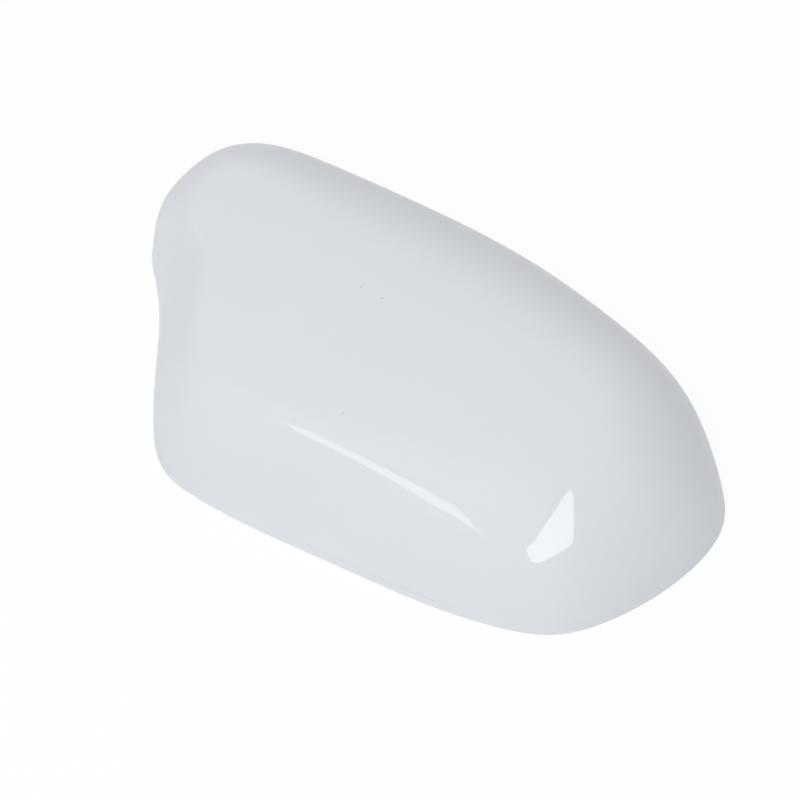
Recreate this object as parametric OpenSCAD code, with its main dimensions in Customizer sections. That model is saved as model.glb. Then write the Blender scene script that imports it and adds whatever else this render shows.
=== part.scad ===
// Wing mirror cover: one injection moulded shell, painted gloss white outside.
// X runs from the inboard end to the outboard end, Y from the lower edge to the
// upper edge and Z from the open rim to the face. The rim lies flat on Z = 0.

/* [Overall size] */
// Length from the inboard lip to the outboard end
cover_length = 248; // [225:1:270]
// Width from the lower edge to the upper edge
cover_width = 141; // [130:1:155]
// Depth from the open rim to the highest point of the face
cover_depth = 60; // [52:1:68]
// Thickness of the moulded wall
wall = 2.5; // [2:0.1:3.2]

/* [Face] */
// Sag of the face from its middle to its ends
face_crown = 4; // [2:0.5:6]
// Sag of the face from its middle to its long edges
cross_crown = 8; // [5:0.5:10]
// Fall of the face towards the lower edge
face_tilt = 16; // [11:0.5:20]
// Fall of the face at the outboard end
outboard_fall = 12; // [8:0.5:16]

/* [Edge rolls] */
// Reach of the wide roll along the upper edge
upper_roll = 53; // [44:1:56]
// Reach of the roll along the outboard end
outboard_roll = 42; // [34:1:46]
// Reach of the tighter roll along the lower edge
lower_roll = 12; // [9:1:18]
// Reach of the roll along the inboard end
inboard_roll = 28; // [22:1:32]
// Lean of the lower wall, from the rim up to its crease
lower_lean = 21; // [16:0.5:25]
// Lean of the wall at the outboard end
outboard_lean = 12; // [8:0.5:14]
// Draft of the upper and the inboard walls over their height
draft = 2; // [1:0.5:4]
// Power of the soft rolls, 2 is an ellipse and more is tighter
soft_power = 2.2; // [2:0.1:2.6]
// Power of the crease above the lower wall
crease_power = 3; // [2.4:0.1:3.6]
// Power of the full rolls around the corners and the waist
corner_power = 1.8; // [1.6:0.1:2.2]
// Reach of the lip that flares out at the inboard end
lip_flare = 5; // [2:0.5:7]

/* [Rim] */
// Width of the foot that stands on the housing
foot_width = 1.4; // [1:0.1:1.6]
// Depth of the locating step inside the foot
step_depth = 2.5; // [1.5:0.5:4]

/* [Snap hooks] */
// Width of a hook along the rim
hook_width = 12; // [8:1:16]
// Thickness of a hook's tab and of its shelf
hook_thickness = 2.2; // [1.6:0.1:2.6]
// Gap between a tab and the wall, at the shelf
hook_gap = 4; // [3:0.5:6]
// Height of the shelf's top above the rim
hook_root = 24; // [20:1:28]
// Height of a tab's tip above the rim
hook_tip = 3; // [2:0.5:5]
// Reach of the barb
barb_reach = 2.2; // [1:0.1:3]
// Height of the barb's lead-in
barb_height = 4; // [3:0.5:6]

/* [Locating pins] */
// Diameter of a locating pin
pin_d = 5; // [4:0.5:7]
// Length of a pin below its boss
pin_length = 12; // [8:1:16]
// Diameter of a pin's boss
boss_d = 9; // [8:0.5:12]
// Height of a boss's end above the rim
boss_end = 30; // [26:1:34]
// Reach of the gussets from a boss's axis
gusset_reach = 13; // [9:1:16]

/* [Ribs] */
// Thickness of the ribs and gussets
rib_thickness = 1.5; // [1.2:0.1:2]
// Depth of a rib, inside the wall
rib_depth = 5; // [3:0.5:7]

/* [Hidden] */
paint = [0.87, 0.88, 0.9];

// Control points of the rim and of the wall above it, anticlockwise from the
// lower edge: x, y, lean of the wall, reach of the roll, its power, lip flare.
stations = [
    [-28, -65, lower_lean, lower_roll, crease_power, 0],
    [8, -63, lower_lean, lower_roll, crease_power, 0],
    [44, -62, lower_lean, between(lower_roll, outboard_roll, 0.2), 2.5, 0],
    [72, -57, between(lower_lean, outboard_lean, 0.5), between(lower_roll, outboard_roll, 0.6), 2.4, 0],
    [90, -51, outboard_lean, between(lower_roll, outboard_roll, 0.9), 2.4, 0],
    [106, -34, outboard_lean, outboard_roll, soft_power, 0],
    [119, -12, outboard_lean, outboard_roll, soft_power, 0],
    [126, 9, outboard_lean, outboard_roll, 2, 0],
    [125, 25, outboard_lean, outboard_roll, corner_power, 0],
    [112, 42, draft, between(outboard_roll, upper_roll, 0.2), corner_power, 0],
    [92, 59, draft, upper_roll, soft_power, 0],
    [60, 69, draft, upper_roll, soft_power, 0],
    [21, 78, draft, upper_roll, soft_power, 0],
    [-22, 81, draft, upper_roll, soft_power, 0],
    [-67, 81, draft, upper_roll, soft_power, 0],
    [-102, 79, draft, between(upper_roll, inboard_roll, 0.2), soft_power, 0],
    [-120, 64, draft, inboard_roll, 2, lip_flare / 2],
    [-130, 39, draft, inboard_roll, soft_power, lip_flare],
    [-131, 23, draft, inboard_roll, soft_power, lip_flare],
    [-115, 9, draft, inboard_roll, corner_power, lip_flare / 3],
    [-99, -17, draft, between(inboard_roll, lower_roll, 0.5), corner_power, 0],
    [-86, -44, draft, between(inboard_roll, lower_roll, 0.5), corner_power, 0],
    [-72, -61, between(draft, lower_lean, 0.5), between(inboard_roll, lower_roll, 0.7), corner_power, 0],
    [-56, -64, between(draft, lower_lean, 0.9), lower_roll, 2.7, 0]
];
// Samples around the rim for each control point, rings in the roll and on the face
samples = 4;
roll_rings = 14;
face_rings = 7;

// Depth in the wall, from the outer skin, at which the moulded-in pieces begin
root_depth = wall * 0.4;
// Places of the hooks and ribs along the rim, counted in control points
hooks_at = [0, 3, 6.5, 10.3, 12.5, 14.8, 20.6];
ribs_at = [1.5, 4.4, 5.5, 7.7, 9.2, 11.4, 13.6, 16.2, 22];
// Angles of the section between which a rib runs, 0 at the rim and 90 on the face
rib_start = 25;
rib_end = 86;
rib_steps = 10;
// Length of the gussets' lower end, up from the end of the boss
gusset_rise = 4;
// Length by which a pin runs into its boss
overlap = 1;
// Places of the locating pins in plan, as shares of the length and the width
pins_at = [[-0.21, 0.03], [0.2, 0.015]];

function between(a, b, share) = a + (b - a) * share;
function weights(u) = [pow(1 - u, 3), 3 * pow(u, 3) - 6 * u * u + 4, -3 * pow(u, 3) + 3 * u * u + 3 * u + 1,
                       pow(u, 3)] / 6;
// Row of the smooth closed curve at t, counted in control points
function row(t) = let (n = len(stations), i = floor(t))
    weights(t - i) * [for (k = [n - 1:n + 2]) stations[(i + k) % n]];

turns = [for (i = [0:len(stations) * samples - 1]) i / samples];
drawn = [for (t = turns) row(t)];
low = [min([for (r = drawn) r.x]), min([for (r = drawn) r.y])];
high = [max([for (r = drawn) r.x]), max([for (r = drawn) r.y])];
// Size at which the control points are drawn, and the middle of their outline
drawn_size = high - low;
drawn_middle = (high + low) / 2;
function placed(p) = [(p.x - drawn_middle.x) * cover_length / drawn_size.x,
                      (p.y - drawn_middle.y) * cover_width / drawn_size.y];

// The walls lean in towards a short spine along the cover, and the face closes on its middle
spine_share = 0.45;
spine_y = -0.035 * cover_width;
middle = [0, -0.03 * cover_width];
function rim(t) = placed(row(t));
function unit(v) = v / norm(v);
function inward(t) = unit([rim(t).x * spine_share, spine_y] - rim(t));

// The fall at the outboard end starts at this share of the half length, with this power
fall_start = -0.05;
fall_power = 2.2;
// Height of the face below its own datum at a point of the plan
function fall(p) = let (u = 2 * p.x / cover_length, v = 2 * p.y / cover_width, out = max(u - fall_start, 0))
    face_crown * u * u + cross_crown * v * v - face_tilt * v + outboard_fall * pow(out, fall_power);

// Section of the wall at t: distance inward and share of the face's height. The lip's
// hollow follows a cube, so that it is deepest close to the rim.
function section(t, a) = let (r = row(t), rise = pow(sin(a), 2 / r[4]), run = 1 - pow(cos(a), 2 / r[4]))
    [r[2] * rise + r[3] * run + r[5] * (1 - pow(1 - rise, 3)), rise];
function roll_plan(t, a) = rim(t) + inward(t) * section(t, a).x;
function face_plan(t, s) = let (edge = roll_plan(t, 90)) edge + (middle - edge) * s;

// Highest that the face's datum can lie, so that no point of a roll or of the face
// comes out above the cover's depth
function room(p, rise) = fall(p) + cover_depth * (1 / rise - 1);
roll_angles = [for (j = [1:roll_rings]) 90 * j / roll_rings];
roll_room = min([for (t = turns, a = roll_angles) room(roll_plan(t, a), section(t, a).y)]);
face_room = min([for (t = turns, s = [0:1 / face_rings:1]) room(face_plan(t, s), 1)]);
least_room = min(roll_room, face_room);
function face_z(p) = cover_depth + least_room - fall(p);
function lifted(p, rise) = [p.x, p.y, rise * face_z(p)];
function skin(t, j) = j <= roll_rings
    ? let (a = 90 * j / roll_rings) lifted(roll_plan(t, a), section(t, a).y)
    : lifted(face_plan(t, (j - roll_rings) / (face_rings + 1)), 1);

rings = roll_rings + face_rings;
around = len(turns);
outer = [for (j = [0:rings]) [for (t = turns) skin(t, j)]];
// Unit normal of the outer skin at a grid point
function normal(i, j) = let (next = outer[j][(i + 1) % around], last = outer[j][(i + around - 1) % around],
    up = outer[min(j + 1, rings)][i], down = outer[max(j - 1, 0)][i]) unit(cross(next - last, up - down));
function flat_in(i, reach) = let (n = normal(i, 0), h = unit([n.x, n.y])) outer[0][i] - [h.x, h.y, 0] * reach;
foot_ring = [for (i = [0:around - 1]) flat_in(i, foot_width)];
step_ring = [for (p = foot_ring) p + [0, 0, step_depth]];
function wall_in(i, j) = j == 0 ? flat_in(i, wall) + [0, 0, step_depth] : outer[j][i] - normal(i, j) * wall;
inner = [for (j = [0:rings]) [for (i = [0:around - 1]) wall_in(i, j)]];
top = lifted(middle, 1);

module shell() {
    loops = concat([for (j = [rings:-1:0]) outer[j]], [foot_ring, step_ring], inner);
    points = concat([for (loop = loops, p = loop) p], [top, top - [0, 0, wall]]);
    last = len(loops) - 1;
    crown = len(points) - 2;
    cells = [for (k = [0:last - 1], i = [0:around - 1]) [k * around + i, k * around + (i + 1) % around]];
    faces = concat(
        [for (c = cells) [c[0], c[1], c[1] + around]],
        [for (c = cells) [c[0], c[1] + around, c[0] + around]],
        [for (i = [0:around - 1]) [crown, (i + 1) % around, i]],
        [for (i = [0:around - 1]) [crown + 1, last * around + i, last * around + (i + 1) % around]]
    );
    polyhedron(points, faces, convexity = 6);
}

// Inward normal of the rim in plan, from two points a short step apart
step = 0.05;
fine_angle = 0.01;
function rim_normal(t) = let (n = len(stations), d = unit(rim(t + step) - rim(t + n - step))) [-d.y, d.x];
// Point of the section at t, as its distance inward and its height
function section_point(t, a) = let (s = section(t, a)) [s.x, s.y * face_z(roll_plan(t, a))];
// Angle of the section at which it reaches a height, halving the span that holds it
function angle_at(t, z, low = 0, high = 90) = let (a = (low + high) / 2)
    high - low < fine_angle ? a : section_point(t, a).y < z ? angle_at(t, z, a, high) : angle_at(t, z, low, a);
// Distance from the rim to the outer skin at a height, square to the rim
function skin_at(t, z) = section(t, angle_at(t, z)).x * (inward(t) * rim_normal(t));

// Moves a profile drawn in x and y onto the wall at t: x runs inward, y runs up
module on_wall(t, direction, thickness) {
    translate(rim(t))
        rotate([90, 0, atan2(direction.y, direction.x)])
            linear_extrude(thickness, center = true)
                children();
}

// One snap hook: a shelf out of the wall and a tab that hangs down to its barb
module snap_hook(t) {
    tab = skin_at(t, hook_root) + wall + hook_gap;
    front = tab + hook_thickness;
    shelf = hook_root - hook_thickness;
    on_wall(t, rim_normal(t), hook_width)
        polygon([
            [skin_at(t, hook_root) + root_depth, hook_root],
            [front, hook_root],
            [front, hook_tip + barb_height],
            [front + barb_reach, hook_tip + barb_height],
            [front, hook_tip],
            [tab, hook_tip],
            [tab, shelf],
            [skin_at(t, shelf) + root_depth, shelf]
        ]);
}

// Point of the section at t that lies a depth inside the outer skin
function inside(t, a, depth) = let (d = unit(section_point(t, a + 1) - section_point(t, a - 1)))
    section_point(t, a) + [d.y, -d.x] * depth;

// One stiffening rib: a band that follows the section and fades out at both ends
module rib(t) {
    angles = [for (k = [0:rib_steps]) between(rib_start, rib_end, k / rib_steps)];
    on_wall(t, inward(t), rib_thickness)
        polygon(concat(
            [for (a = angles) inside(t, a, root_depth)],
            [for (k = [rib_steps:-1:0]) let (fade = min(1, k / 2, (rib_steps - k) / 2))
                inside(t, angles[k], between(2 * root_depth, wall + rib_depth, fade))]
        ));
}

// One locating pin on a boss that four gussets tie to the face
module locating_pin(place) {
    p = [place.x * cover_length, place.y * cover_width];
    translate([p.x, p.y, boss_end - pin_length]) cylinder(d = pin_d, h = pin_length + overlap, $fn = 48);
    translate([p.x, p.y, boss_end]) cylinder(d = boss_d, h = face_z(p) - wall / 2 - boss_end, $fn = 48);
    for (turn = [0, 90]) let (way = [cos(turn), sin(turn)] * gusset_reach)
        translate(p)
            rotate([90, 0, turn])
                linear_extrude(rib_thickness, center = true)
                    polygon([
                        [-gusset_reach, face_z(p - way) - root_depth],
                        [gusset_reach, face_z(p + way) - root_depth],
                        [boss_d / 2, boss_end + gusset_rise],
                        [-boss_d / 2, boss_end + gusset_rise]
                    ]);
}

module mirror_cover() {
    color(paint) union() {
        shell();
        for (t = hooks_at) snap_hook(t);
        for (t = ribs_at) rib(t);
        for (place = pins_at) locating_pin(place);
    }
}

mirror_cover();
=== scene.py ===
import math

import bmesh
import bpy
import numpy as np
from mathutils import Matrix, Vector
from mathutils.bvhtree import BVHTree


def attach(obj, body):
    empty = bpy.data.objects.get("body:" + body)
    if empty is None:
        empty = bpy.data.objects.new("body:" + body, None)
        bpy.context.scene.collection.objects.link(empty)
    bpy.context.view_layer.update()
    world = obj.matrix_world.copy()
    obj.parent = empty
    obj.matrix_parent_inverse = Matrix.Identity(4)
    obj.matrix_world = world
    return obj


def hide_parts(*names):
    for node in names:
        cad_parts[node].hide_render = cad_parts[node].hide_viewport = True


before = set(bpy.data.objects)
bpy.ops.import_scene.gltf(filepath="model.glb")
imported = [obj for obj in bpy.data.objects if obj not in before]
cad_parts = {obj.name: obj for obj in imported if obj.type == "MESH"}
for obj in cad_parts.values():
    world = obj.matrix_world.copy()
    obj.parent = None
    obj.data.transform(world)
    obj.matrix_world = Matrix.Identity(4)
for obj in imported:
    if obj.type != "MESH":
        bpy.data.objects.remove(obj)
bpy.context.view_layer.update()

# The skin is one thin wall: a broad face that falls away outboard, a wide roll along
# the upper edge, a crease above the lower wall and a waist at the inboard end. It is
# injection moulded, and its rim stands on the mirror housing all the way round.
MM = 0.001
COVER_LENGTH = 248 * MM
COVER_WIDTH = 141 * MM
COVER_DEPTH = 60 * MM
WALL = 2.5 * MM
FACE_CROWN = 4 * MM
CROSS_CROWN = 8 * MM
FACE_TILT = 16 * MM
OUTBOARD_FALL = 12 * MM
FALL_START = -0.05
FALL_POWER = 2.2
FOOT_WIDTH = 1.4 * MM
STEP_DEPTH = 2.5 * MM
EDGE_ROUND = 0.35 * MM
AROUND = 288
ROLL_RINGS = 44
FACE_RINGS = 24
# Reaches of the rolls, leans of the walls and the lip's flare, in millimetres.
UPPER_ROLL = 53
OUTBOARD_ROLL = 42
LOWER_ROLL = 12
INBOARD_ROLL = 28
LOWER_LEAN = 21
OUTBOARD_LEAN = 12
DRAFT = 2
LIP_FLARE = 5
# Powers of the rolls' sections, where 2 is an ellipse and more is tighter.
SOFT = 2.2
CREASE = 3.0
CORNER = 1.8


def between(a, b, share):
    return a + (b - a) * share


# Control points of the rim and of the wall above it, anticlockwise from the lower
# edge, in millimetres: x, y, lean of the wall, reach of the roll, its power, flare.
STATIONS = np.array([
    (-28, -65, LOWER_LEAN, LOWER_ROLL, CREASE, 0),
    (8, -63, LOWER_LEAN, LOWER_ROLL, CREASE, 0),
    (44, -62, LOWER_LEAN, between(LOWER_ROLL, OUTBOARD_ROLL, 0.2), 2.5, 0),
    (72, -57, between(LOWER_LEAN, OUTBOARD_LEAN, 0.5), between(LOWER_ROLL, OUTBOARD_ROLL, 0.6), 2.4, 0),
    (90, -51, OUTBOARD_LEAN, between(LOWER_ROLL, OUTBOARD_ROLL, 0.9), 2.4, 0),
    (106, -34, OUTBOARD_LEAN, OUTBOARD_ROLL, SOFT, 0),
    (119, -12, OUTBOARD_LEAN, OUTBOARD_ROLL, SOFT, 0),
    (126, 9, OUTBOARD_LEAN, OUTBOARD_ROLL, 2, 0),
    (125, 25, OUTBOARD_LEAN, OUTBOARD_ROLL, CORNER, 0),
    (112, 42, DRAFT, between(OUTBOARD_ROLL, UPPER_ROLL, 0.2), CORNER, 0),
    (92, 59, DRAFT, UPPER_ROLL, SOFT, 0),
    (60, 69, DRAFT, UPPER_ROLL, SOFT, 0),
    (21, 78, DRAFT, UPPER_ROLL, SOFT, 0),
    (-22, 81, DRAFT, UPPER_ROLL, SOFT, 0),
    (-67, 81, DRAFT, UPPER_ROLL, SOFT, 0),
    (-102, 79, DRAFT, between(UPPER_ROLL, INBOARD_ROLL, 0.2), SOFT, 0),
    (-120, 64, DRAFT, INBOARD_ROLL, 2, LIP_FLARE / 2),
    (-130, 39, DRAFT, INBOARD_ROLL, SOFT, LIP_FLARE),
    (-131, 23, DRAFT, INBOARD_ROLL, SOFT, LIP_FLARE),
    (-115, 9, DRAFT, INBOARD_ROLL, CORNER, LIP_FLARE / 3),
    (-99, -17, DRAFT, between(INBOARD_ROLL, LOWER_ROLL, 0.5), CORNER, 0),
    (-86, -44, DRAFT, between(INBOARD_ROLL, LOWER_ROLL, 0.5), CORNER, 0),
    (-72, -61, between(DRAFT, LOWER_LEAN, 0.5), between(INBOARD_ROLL, LOWER_ROLL, 0.7), CORNER, 0),
    (-56, -64, between(DRAFT, LOWER_LEAN, 0.9), LOWER_ROLL, 2.7, 0),
])
SAMPLES = 4
SPINE_SHARE = 0.45
SPINE_Y = -0.035 * COVER_WIDTH
MIDDLE = np.array([0.0, -0.03 * COVER_WIDTH])


def row(t):
    """Row of the smooth closed curve at t, counted in control points."""
    t = np.asarray(t, float)
    i = np.floor(t).astype(int)
    u = t - i
    spline = [(1 - u) ** 3, 3 * u**3 - 6 * u**2 + 4, -3 * u**3 + 3 * u**2 + 3 * u + 1, u**3]
    weights = np.stack(spline, -1) / 6
    near = STATIONS[(i[..., None] + np.arange(-1, 3)) % len(STATIONS)]
    return (weights[..., None] * near).sum(-2)


drawn = row(np.arange(len(STATIONS) * SAMPLES) / SAMPLES)[:, :2]
drawn_size = drawn.max(0) - drawn.min(0)
drawn_middle = (drawn.max(0) + drawn.min(0)) / 2


def rim(t):
    """Point of the rim in plan, with the drawn outline scaled to the cover's size."""
    return (row(t)[..., :2] - drawn_middle) * np.array([COVER_LENGTH, COVER_WIDTH]) / drawn_size


def unit(v):
    return v / np.linalg.norm(v, axis=-1, keepdims=True)


def inward(t):
    """Direction in plan in which the wall leans, towards a short spine along the cover."""
    r = rim(t)
    return unit(np.stack([r[..., 0] * SPINE_SHARE, np.full_like(r[..., 0], SPINE_Y)], -1) - r)


def fall(p):
    """Height of the face below its own datum at a point of the plan."""
    u = 2 * p[..., 0] / COVER_LENGTH
    v = 2 * p[..., 1] / COVER_WIDTH
    out = np.maximum(u - FALL_START, 0)
    return FACE_CROWN * u**2 + CROSS_CROWN * v**2 - FACE_TILT * v + OUTBOARD_FALL * out**FALL_POWER


def section(t, angle):
    """Distance inward of the wall at t, and its share of the face's height."""
    _, _, lean, roll, power, flare = np.moveaxis(row(t), -1, 0)
    a = np.radians(angle)
    rise = np.sin(a) ** (2 / power)
    run = 1 - np.maximum(np.cos(a), 0) ** (2 / power)
    return (lean * rise + roll * run + flare * (1 - (1 - rise) ** 3)) * MM, rise


def roll_plan(t, angle):
    return rim(t) + inward(t) * section(t, angle)[0][..., None]


turns = np.arange(AROUND) * len(STATIONS) / AROUND
roll_angles = np.linspace(0, 90, ROLL_RINGS + 1)
shares = np.linspace(0, 1, FACE_RINGS + 2)[1:-1]
face_edge = roll_plan(turns, 90)
face_rings = [face_edge + (MIDDLE - face_edge) * s for s in shares]


def room(p, rise):
    """Height by which the face's datum can lie above the cover's depth at a point."""
    return (fall(p) + COVER_DEPTH * (1 / rise - 1)).min()


roll_room = min(room(roll_plan(turns, a), section(turns, a)[1]) for a in roll_angles[1:])
least_room = min(roll_room, *[room(p, 1) for p in face_rings])


def face_z(p):
    return COVER_DEPTH + least_room - fall(p)


def lifted(p, rise):
    return np.concatenate([p, (rise * face_z(p))[..., None]], -1)


rings = [lifted(roll_plan(turns, a), section(turns, a)[1]) for a in roll_angles]
rings += [lifted(p, np.ones(AROUND)) for p in face_rings]
outer = np.array(rings)
along = np.roll(outer, -1, 1) - np.roll(outer, 1, 1)
upward = np.gradient(outer, axis=0)
normals = unit(np.cross(along, upward))
flat = unit(normals[0] * (1, 1, 0))
top = np.append(MIDDLE, face_z(MIDDLE))


def rim_loop(inset, z):
    """Loop inside the rim at a height, set in square to the rim."""
    return (outer[0] - flat * inset) * (1, 1, 0) + (0, 0, z)


# The foot has rounded corners, and the locating step behind it takes the housing's edge.
corner = EDGE_ROUND * (1 - math.sqrt(0.5))
bottom = [
    rim_loop(0, EDGE_ROUND),
    rim_loop(corner, corner),
    rim_loop(EDGE_ROUND, 0),
    rim_loop(FOOT_WIDTH - EDGE_ROUND, 0),
    rim_loop(FOOT_WIDTH - corner, corner),
    rim_loop(FOOT_WIDTH, EDGE_ROUND),
    rim_loop(FOOT_WIDTH, STEP_DEPTH),
    rim_loop(WALL, STEP_DEPTH),
]
inner = outer[1:] - normals[1:] * WALL
loops = np.array([*outer[:0:-1], *bottom, *inner])
points = np.concatenate([loops.reshape(-1, 3), [top, top - (0, 0, WALL)]])


def closed_mesh(name, corners, faces):
    """Object with an outward-facing closed mesh."""
    mesh = bpy.data.meshes.new(name)
    mesh.from_pydata([tuple(p) for p in corners], [], [tuple(f) for f in faces])
    work = bmesh.new()
    work.from_mesh(mesh)
    bmesh.ops.recalc_face_normals(work, faces=work.faces)
    work.to_mesh(mesh)
    work.free()
    thing = bpy.data.objects.new(name, mesh)
    bpy.context.collection.objects.link(thing)
    return thing


def at(k, i):
    """Index of the point i of the loop k, counted around without an end."""
    return k * AROUND + i % AROUND


last = len(loops) - 1
crown = len(points) - 2
cells = [(at(k, i), at(k, i + 1), at(k + 1, i + 1), at(k + 1, i)) for k in range(last) for i in range(AROUND)]
cells += [(crown, at(0, i + 1), at(0, i)) for i in range(AROUND)]
cells += [(crown + 1, at(last, i), at(last, i + 1)) for i in range(AROUND)]
cover = closed_mesh("cover_shell", points, cells)

# Seven snap hooks hold the cover. Each is a shelf out of the wall with a springy tab
# that hangs down from it to a barb, moulded in one with the skin.
HOOKS_AT = (0, 3, 6.5, 10.3, 12.5, 14.8, 20.6)
HOOK_WIDTH = 12 * MM
HOOK_THICKNESS = 2.2 * MM
HOOK_GAP = 4 * MM
HOOK_ROOT = 24 * MM
HOOK_TIP = 3 * MM
BARB_REACH = 2.2 * MM
BARB_HEIGHT = 4 * MM
HOOK_EDGE = 0.35 * MM
# Depth in the wall, from the outer skin, at which the moulded-in forms begin.
ROOT_DEPTH = WALL * 0.4
STEP = 0.05
FINE_ANGLES = np.linspace(0, 80, 401)
SHARP = math.radians(30)
ROUNDING = 2


def softened(thing, radius):
    """Rounds the sharp edges of a small moulded form."""
    work = bmesh.new()
    work.from_mesh(thing.data)
    edges = [e for e in work.edges if e.calc_face_angle(0) > SHARP]
    bmesh.ops.bevel(
        work, geom=edges, offset=radius, segments=ROUNDING, profile=0.5, affect="EDGES", clamp_overlap=True
    )
    work.to_mesh(thing.data)
    work.free()
    return thing


def on_wall(name, profile, foot, direction, thickness):
    """Plate with a profile drawn inward and upward, standing on the wall at a point of the rim."""
    n = len(profile)
    side = np.array([-direction[1], direction[0], 0]) * thickness / 2
    plane = [np.array([*(foot + direction * x), z]) for x, z in profile]
    corners = [p - side for p in plane] + [p + side for p in plane]
    walls = [(i, (i + 1) % n, n + (i + 1) % n, n + i) for i in range(n)]
    return closed_mesh(name, corners, [range(n), range(2 * n - 1, n - 1, -1), *walls])


def rim_normal(t):
    """Inward normal of the rim in plan, from two points a short step apart."""
    d = unit(rim(t + STEP) - rim(t - STEP))
    return np.array([-d[1], d[0]])


def section_point(t, angle):
    """Distance inward and height of the outer skin, in the section at t."""
    distance, rise = section(t, angle)
    return np.array([distance, rise * face_z(roll_plan(t, angle))])


def skin_at(t, z):
    """Distance from the rim to the outer skin at a height, square to the rim."""
    distances, heights = zip(*[section_point(t, a) for a in FINE_ANGLES])
    return np.interp(z, heights, distances) * (inward(t) @ rim_normal(t))


def snap_hook(t):
    """Shelf out of the wall at t, with the tab that hangs down from it to its barb."""
    tab = skin_at(t, HOOK_ROOT) + WALL + HOOK_GAP
    front = tab + HOOK_THICKNESS
    shelf = HOOK_ROOT - HOOK_THICKNESS
    profile = [
        (skin_at(t, HOOK_ROOT) + ROOT_DEPTH, HOOK_ROOT),
        (front, HOOK_ROOT),
        (front, HOOK_TIP + BARB_HEIGHT),
        (front + BARB_REACH, HOOK_TIP + BARB_HEIGHT),
        (front, HOOK_TIP),
        (tab, HOOK_TIP),
        (tab, shelf),
        (skin_at(t, shelf) + ROOT_DEPTH, shelf),
    ]
    return softened(on_wall("snap_hook", profile, rim(t), rim_normal(t), HOOK_WIDTH), HOOK_EDGE)


moulded_in = [snap_hook(t) for t in HOOKS_AT]

# Nine ribs stiffen the rolls. Each is a thin band moulded across the inside of a roll,
# and it fades into the wall at both ends.
RIBS_AT = (1.5, 4.4, 5.5, 7.7, 9.2, 11.4, 13.6, 16.2, 22)
RIB_THICKNESS = 1.5 * MM
RIB_DEPTH = 5 * MM
RIB_START = 25
RIB_END = 86
RIB_STEPS = 20
FADE_STEPS = 5
RIB_EDGE = 0.3 * MM


def inside(t, angle, depth):
    """Point that lies a depth inside the outer skin, in the section at t."""
    d = unit(section_point(t, angle + 1) - section_point(t, angle - 1))
    return section_point(t, angle) + np.array([d[1], -d[0]]) * depth


def rib(t):
    """Band across the roll at t, whose depth swells from nothing and fades again."""
    angles = np.linspace(RIB_START, RIB_END, RIB_STEPS + 1)
    fades = [min(1, k / FADE_STEPS, (RIB_STEPS - k) / FADE_STEPS) for k in range(RIB_STEPS + 1)]
    depths = [between(2 * ROOT_DEPTH, WALL + RIB_DEPTH, math.sin(fade * math.pi / 2)) for fade in fades]
    root = [inside(t, a, ROOT_DEPTH) for a in angles]
    edge = [inside(t, a, depth) for a, depth in zip(angles, depths)]
    return softened(on_wall("rib", root + edge[::-1], rim(t), inward(t), RIB_THICKNESS), RIB_EDGE)


moulded_in += [rib(t) for t in RIBS_AT]

# Two round pins locate the cover in the housing. Each stands on a thicker boss that
# four gussets tie to the inside of the face.
PINS_AT = ((-0.21, 0.03), (0.2, 0.015))
PIN_RADIUS = 2.5 * MM
PIN_LENGTH = 12 * MM
PIN_LEAD = 0.8 * MM
LEAD_ROUND = PIN_LEAD * 0.3
BOSS_RADIUS = 4.5 * MM
BOSS_END = 30 * MM
BOSS_EDGE = 0.5 * MM
GUSSET_REACH = 13 * MM
GUSSET_RISE = 4 * MM
ROUND = 48


def turned(name, centre, profile):
    """Round form from radii and heights, closed at both ends."""
    way = np.linspace(0, 2 * math.pi, ROUND, endpoint=False)
    corners = [(centre[0] + r * math.cos(w), centre[1] + r * math.sin(w), z) for r, z in profile for w in way]
    sides = [
        (k * ROUND + i, k * ROUND + (i + 1) % ROUND, (k + 1) * ROUND + (i + 1) % ROUND, (k + 1) * ROUND + i)
        for k in range(len(profile) - 1)
        for i in range(ROUND)
    ]
    ends = [range(ROUND), range(len(corners) - 1, len(corners) - ROUND - 1, -1)]
    return closed_mesh(name, corners, [*ends, *sides])


def locating_pin(centre):
    """The pin and its boss, with the gussets that cross on its axis."""
    tip = BOSS_END - PIN_LENGTH
    roof = face_z(centre) - WALL / 2
    profile = [
        (PIN_RADIUS - PIN_LEAD, tip),
        (PIN_RADIUS - LEAD_ROUND, tip + LEAD_ROUND),
        (PIN_RADIUS, tip + PIN_LEAD),
        (PIN_RADIUS, BOSS_END - BOSS_EDGE),
        (PIN_RADIUS + BOSS_EDGE, BOSS_END),
        (BOSS_RADIUS - BOSS_EDGE, BOSS_END),
        (BOSS_RADIUS, BOSS_END + BOSS_EDGE),
        (BOSS_RADIUS, roof),
    ]
    made = [turned("locating_pin", centre, profile)]
    foot = BOSS_END + GUSSET_RISE
    for way in np.array([(1, 0), (0, 1)]):
        ends = [(x, face_z(centre + way * x) - ROOT_DEPTH) for x in (-GUSSET_REACH, GUSSET_REACH)]
        outline = [*ends, (BOSS_RADIUS, foot), (-BOSS_RADIUS, foot)]
        made.append(softened(on_wall("gusset", outline, centre, way, RIB_THICKNESS), RIB_EDGE))
    return made


for spot in PINS_AT:
    moulded_in += locating_pin(np.array(spot) * (COVER_LENGTH, COVER_WIDTH))

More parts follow.
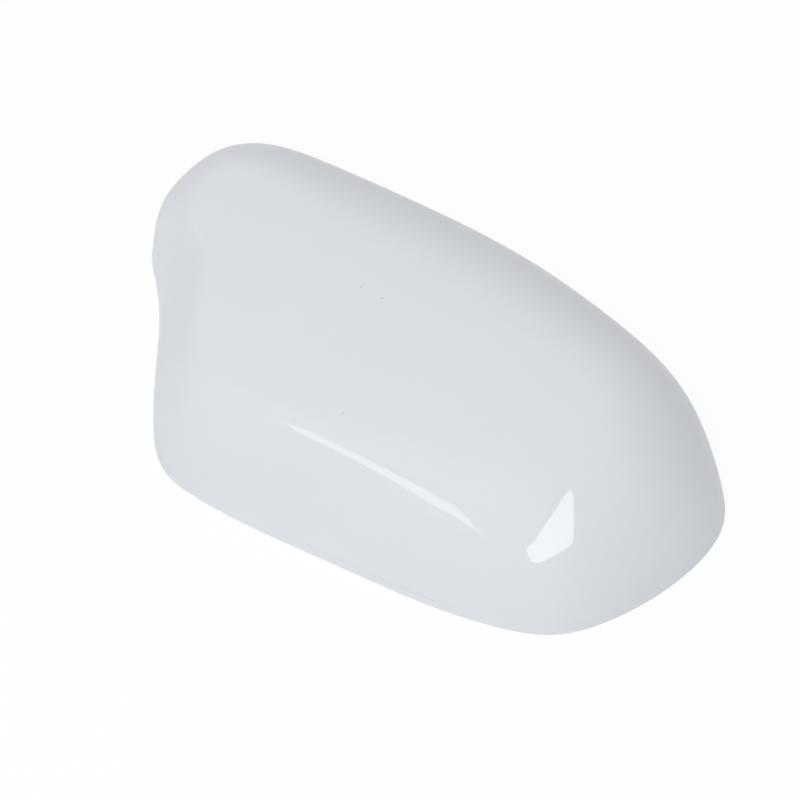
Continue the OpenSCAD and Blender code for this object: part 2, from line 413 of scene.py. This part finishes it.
# The skin, hooks, ribs and pins come out of the mould as one piece. It rides on the
# root body in place of the plain solid, with hard edges kept only at its corners.
MOULD_EDGE = math.radians(28)
for thing in moulded_in:
    weld = cover.modifiers.new("weld", "BOOLEAN")
    weld.operation = "UNION"
    weld.solver = "MANIFOLD"
    weld.object = thing
baked = bpy.data.meshes.new_from_object(cover.evaluated_get(bpy.context.evaluated_depsgraph_get()))
cover.modifiers.clear()
cover.data = baked
for thing in moulded_in:
    bpy.data.objects.remove(thing)
baked.shade_smooth()
baked.set_sharp_from_angle(angle=MOULD_EDGE)
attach(cover, "root")
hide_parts("mirror_cover")

# The camera looks down on the outside from the lower side, turned outboard, as in the
# photograph. Its rays also tell where the nibs and the highlights lie on the skin.
AZIMUTH = math.radians(28)
ELEVATION = math.radians(60)
TARGET = Vector((3.4, -11.3, 25)) * MM
DISTANCE = 557.3 * MM
FOCAL = 70
SENSOR = 36
IMAGE = 800
back = Vector((
    math.sin(AZIMUTH) * math.cos(ELEVATION), -math.cos(AZIMUTH) * math.cos(ELEVATION), math.sin(ELEVATION)
))
right = Vector((math.cos(AZIMUTH), math.sin(AZIMUTH), 0))
upright = back.cross(right)
lens = bpy.data.cameras.new("camera")
lens.lens = FOCAL
lens.sensor_width = SENSOR
camera = bpy.data.objects.new("camera", lens)
turn = Matrix((right, upright, back)).transposed().to_4x4()
camera.matrix_world = Matrix.Translation(TARGET + back * DISTANCE) @ turn
bpy.context.collection.objects.link(camera)
bpy.context.scene.camera = camera
bpy.context.scene.view_settings.view_transform = "Standard"
outer_cells = [c for c in cells if max(c) < len(outer) * AROUND or crown in c]
skin = BVHTree.FromPolygons([tuple(p) for p in points], outer_cells)


def seen_at(pixel):
    """The ray through a pixel, with the point and the face of the outer skin that it meets."""
    scale = SENSOR / FOCAL / IMAGE
    ray = (right * (pixel[0] - IMAGE / 2) - upright * (pixel[1] - IMAGE / 2)) * scale - back
    hit, _, face, _ = skin.ray_cast(TARGET + back * DISTANCE, ray.normalized())
    return ray.normalized(), hit, face


# The outside is sprayed gloss white under a clear coat, and the inside is bare satin
# plastic. The spray fades out across the foot of the rim, so the coat is a mask there.
# Three faint dust nibs are caught under the clear coat.
PAINT_COLOUR = (0.72, 0.75, 0.79)
PAINT_SHADES = (0.99, 1.01)
BARE_COLOUR = (0.60, 0.61, 0.60)
BARE_SHADES = (0.94, 1.05)
BARE_ROUGHNESS = 0.5
PAINT_SMOOTHING = 0.1
CLOUD_ROUGHNESS = 0.06
SPECULAR_LEVEL = 0.15
# The clear coat is weaker where the skin is seen at a glancing angle.
COAT_WEIGHT = 0.8
COAT_LOSS = 0.7
COAT_ROUGHNESS = 0.015
GLANCE_BLEND = 0.5
GLANCE_POWER = 3.0
# Scale and detail of the drift in colour, the paint's orange peel and the moulded grain.
CLOUD = (14.0, 3.0)
PEEL = (420.0, 2.0)
GRAIN = (2600.0, 3.0)
PEEL_HEIGHT = 0.05
GRAIN_HEIGHT = 0.5
BUMP_STRENGTH = 0.4
BUMP_DISTANCE = 0.02 * MM
SPRAY_REACH = 1.5 * MM
NIB_COLOUR = (0.62, 0.64, 0.66)
NIB_RADIUS = 0.45 * MM
NIB_PIXELS = ((361, 287), (382, 298), (343, 413))
sprayed = baked.attributes.new("sprayed", "FLOAT", "POINT")
gaps = [skin.find_nearest(v.co)[3] for v in baked.vertices]
sprayed.data.foreach_set("value", [max(0.0, 1 - gap / SPRAY_REACH) for gap in gaps])


class Wire:
    """A shader socket with arithmetic: an expression on it adds its Math nodes."""

    def __init__(self, shader, socket):
        self.shader = shader
        self.socket = socket

    def __add__(self, other):
        return self.shader.add("Math", {"operation": "ADD"}, {0: self, 1: other})

    def __sub__(self, other):
        return self.shader.add("Math", {"operation": "SUBTRACT"}, {0: self, 1: other})

    def __rsub__(self, other):
        return self.shader.add("Math", {"operation": "SUBTRACT"}, {0: other, 1: self})

    def __mul__(self, other):
        return self.shader.add("Math", {"operation": "MULTIPLY"}, {0: self, 1: other})

    __radd__ = __add__
    __rmul__ = __mul__


class Shader:
    """The node tree of a material or of the world."""

    def __init__(self, owner):
        owner.use_nodes = True
        self.nodes = owner.node_tree.nodes
        self.links = owner.node_tree.links
        self.nodes.clear()

    def add(self, kind, settings=None, inputs=None, output=0):
        """Any node by its type, with its settings and the values or links of its sockets."""
        node = self.nodes.new("ShaderNode" + kind)
        for name, value in (settings or {}).items():
            setattr(node, name, value)
        for name, value in (inputs or {}).items():
            if isinstance(value, Wire):
                self.links.new(value.socket, node.inputs[name])
            else:
                node.inputs[name].default_value = value
        return Wire(self, node.outputs[output] if node.outputs else None)

    def mix(self, share, a, b):
        """Colour between a and b, by the Mix node's sockets for colours."""
        return self.add("Mix", {"data_type": "RGBA"}, {0: share, 6: a, 7: b}, 2)


def tinted(colour, shade):
    return (*[c * shade for c in colour], 1)


finish = bpy.data.materials.new("gloss_white_paint")
paint = Shader(finish)
place = paint.add("TexCoord", output="Object")
coat = paint.add("Attribute", {"attribute_name": "sprayed"}, output="Fac")
cloud, peel, grain = [
    paint.add("TexNoise", {}, {"Vector": place, "Scale": scale, "Detail": detail})
    for scale, detail in (CLOUD, PEEL, GRAIN)
]
lacquer = paint.mix(cloud, *[tinted(PAINT_COLOUR, shade) for shade in PAINT_SHADES])
plastic = paint.mix(cloud, *[tinted(BARE_COLOUR, shade) for shade in BARE_SHADES])
nibs = [seen_at(pixel)[1] for pixel in NIB_PIXELS]
distances = [paint.add("VectorMath", {"operation": "DISTANCE"}, {0: place, 1: nib}, "Value") for nib in nibs]
specks = sum(paint.add("Math", {"operation": "LESS_THAN"}, {0: d, 1: NIB_RADIUS}) for d in distances)
speckled = paint.mix(specks, lacquer, (*NIB_COLOUR, 1))
facing = paint.add("LayerWeight", {}, {"Blend": GLANCE_BLEND}, "Facing")
glancing = paint.add("Math", {"operation": "POWER"}, {0: facing, 1: GLANCE_POWER})
relief = peel * coat * PEEL_HEIGHT + grain * (1 - coat) * GRAIN_HEIGHT
bump = paint.add("Bump", {}, {"Strength": BUMP_STRENGTH, "Distance": BUMP_DISTANCE, "Height": relief})
surface = paint.add("BsdfPrincipled", {}, {
    "Base Color": paint.mix(coat, plastic, speckled),
    "Roughness": BARE_ROUGHNESS - PAINT_SMOOTHING * coat + CLOUD_ROUGHNESS * cloud,
    "Specular IOR Level": SPECULAR_LEVEL,
    "Coat Weight": coat * (COAT_WEIGHT - COAT_LOSS * glancing),
    "Coat Roughness": COAT_ROUGHNESS,
    "Normal": bump,
})
paint.add("OutputMaterial", {}, {"Surface": surface})
baked.materials.clear()
baked.materials.append(finish)

# The studio is a white sweep lit by four large softboxes, the brightest of them above
# and in front. The sweep shows white, and takes a little of the shadow around the cover.
WHITE = (1, 1, 1, 1)
FLOOR_RADIUS = 6.0
FLOOR_SIDES = 96
FLOOR_COLOUR = (0.96, 0.96, 0.96, 1)
SWEEP_SHARE = 0.93
SHADOW_REACH = (0.35, 1.2)
SOFTBOX_SIZE = 1.2
SOFTBOXES = (
    ("above", (0.0, -0.9, 1.3), 18.0),
    ("left", (-0.9, -0.1, 1.3), 6.8),
    ("right", (1.4, -0.4, 0.8), 6.0),
    ("behind", (0.0, 1.4, 0.8), 7.0),
)


def seen(shader):
    """1 for a camera, mirror or glass ray and 0 for diffuse light."""
    rays = ("Is Camera Ray", "Is Glossy Ray", "Is Transmission Ray")
    camera_ray, glossy_ray, transmission_ray = [shader.add("LightPath", {}, {}, ray) for ray in rays]
    bounce = shader.add("Math", {"operation": "MAXIMUM"}, {0: glossy_ray, 1: transmission_ray})
    return shader.add("Math", {"operation": "MAXIMUM"}, {0: camera_ray, 1: bounce})


world = bpy.data.worlds.new("studio")
bpy.context.scene.world = world
dome = Shader(world)
backdrop = dome.add("Background", {}, {"Color": WHITE, "Strength": seen(dome)})
dome.add("OutputWorld", {}, {"Surface": backdrop})

sweep_mesh = bpy.data.meshes.new("sweep")
disc = bmesh.new()
bmesh.ops.create_circle(disc, cap_ends=True, radius=FLOOR_RADIUS, segments=FLOOR_SIDES)
disc.to_mesh(sweep_mesh)
disc.free()
sweep = bpy.data.objects.new("sweep", sweep_mesh)
bpy.context.collection.objects.link(sweep)
sweep_finish = bpy.data.materials.new("white_sweep")
paper = Shader(sweep_finish)
matt = paper.add("BsdfDiffuse", {}, {"Color": FLOOR_COLOUR})
glow = paper.add("Emission", {}, {"Color": WHITE, "Strength": 1.0})
spread = paper.add("VectorMath", {"operation": "LENGTH"}, {0: paper.add("TexCoord", output="Object")}, "Value")
far = paper.add("MapRange", {}, {"Value": spread, "From Min": SHADOW_REACH[0], "From Max": SHADOW_REACH[1]})
share = seen(paper) * (SWEEP_SHARE + (1 - SWEEP_SHARE) * far)
paper.add("OutputMaterial", {}, {"Surface": paper.add("MixShader", {}, {0: share, 1: matt, 2: glow})})
sweep_mesh.materials.append(sweep_finish)

for name, spot, watts in SOFTBOXES:
    softbox = bpy.data.objects.new(name + "_softbox", bpy.data.lights.new(name + "_softbox", "AREA"))
    softbox.data.size = SOFTBOX_SIZE
    softbox.data.energy = watts
    softbox.visible_glossy = False
    softbox.location = spot
    softbox.rotation_euler = Vector(spot).to_track_quat("Z", "Y").to_euler()
    bpy.context.collection.objects.link(softbox)

# Two small bright panels show as the highlights in the paint: a long strip along the
# crease and a four-sided window outboard. Each corner is where that pixel's ray
# bounces off the skin, carried on to the panel's distance.
PANEL_DISTANCE = 3.0
STRIP_PIXELS = (
    (286, 421), (320, 436), (360, 456), (400, 477), (440, 498), (456, 506), (466, 518), (480, 532),
    (465, 523), (455, 517), (440, 508), (400, 485), (360, 464), (320, 443), (300, 434), (291, 429),
)
WINDOW_PIXELS = ((571, 489), (574, 500), (574.5, 522), (573.5, 543), (532, 563.5), (526.5, 550), (555.5, 512))
STRIP_LEVEL = 4.0
WINDOW_LEVEL = 6.0
TINY = 1e-6
# Normals of the outer skin, in the order of its points from the top ring to the rim.
point_normals = normals[::-1].reshape(-1, 3)


def bounced(pixel):
    """Point at the panel's distance along the ray that a pixel sees in the skin."""
    ray, hit, face = seen_at(pixel)
    ids = list(outer_cells[face])
    near = 1 / (np.linalg.norm(points[ids] - np.array(hit), axis=1) + TINY)
    normal = Vector((point_normals[ids] * near[:, None]).sum(0)).normalized()
    return hit + ray.reflect(normal) * PANEL_DISTANCE


def panel(name, pixels, strength):
    """Flat light that only gloss shows, with its corners where the pixels reflect."""
    corners = [bounced(p) for p in pixels]
    mesh = bpy.data.meshes.new(name)
    mesh.from_pydata([tuple(c) for c in corners], [], [range(len(corners))])
    thing = bpy.data.objects.new(name, mesh)
    bpy.context.collection.objects.link(thing)
    thing.visible_camera = False
    thing.visible_diffuse = False
    thing.visible_shadow = False
    shade = bpy.data.materials.new(name)
    light = Shader(shade)
    glare = light.add("Emission", {}, {"Color": WHITE, "Strength": strength})
    light.add("OutputMaterial", {}, {"Surface": glare})
    mesh.materials.append(shade)


panel("strip_panel", STRIP_PIXELS, STRIP_LEVEL)
panel("window_panel", WINDOW_PIXELS, WINDOW_LEVEL)
